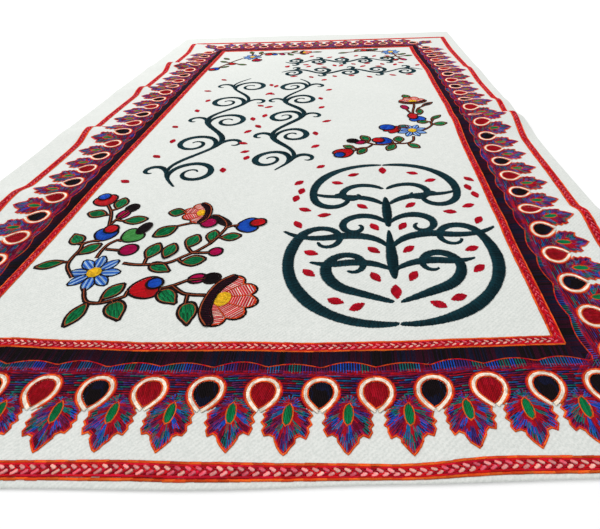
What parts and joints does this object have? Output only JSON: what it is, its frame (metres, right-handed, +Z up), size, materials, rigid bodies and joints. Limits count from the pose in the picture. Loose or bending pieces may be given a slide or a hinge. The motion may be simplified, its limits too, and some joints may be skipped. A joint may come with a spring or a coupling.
{
  "type": "pateh embroidery panel",
  "caption": "Oblong white wool twill panel lying flat, with a stitched double frame, paisley and leaf border, flower sprigs and scrollwork, and soft ripples along its edges.",
  "frame": {"origin": "on the surface it lies on, under the middle of the cloth", "axes": "+Z up, +Y along the cloth's length towards the wide plain margin, +X across it"},
  "size_m": [0.601, 0.9835, 0.0132],
  "materials": {
    "wool_ground": "off-white wool twill, matt, with a fine diagonal rib",
    "wool_stitching": "twisted wool yarn in crimson, orange, navy, green, blue, magenta and cream, laid in satin and chain stitch"
  },
  "bodies": {
    "root": {"ground_cloth": "wool_ground"}
  },
  "joints": []
}
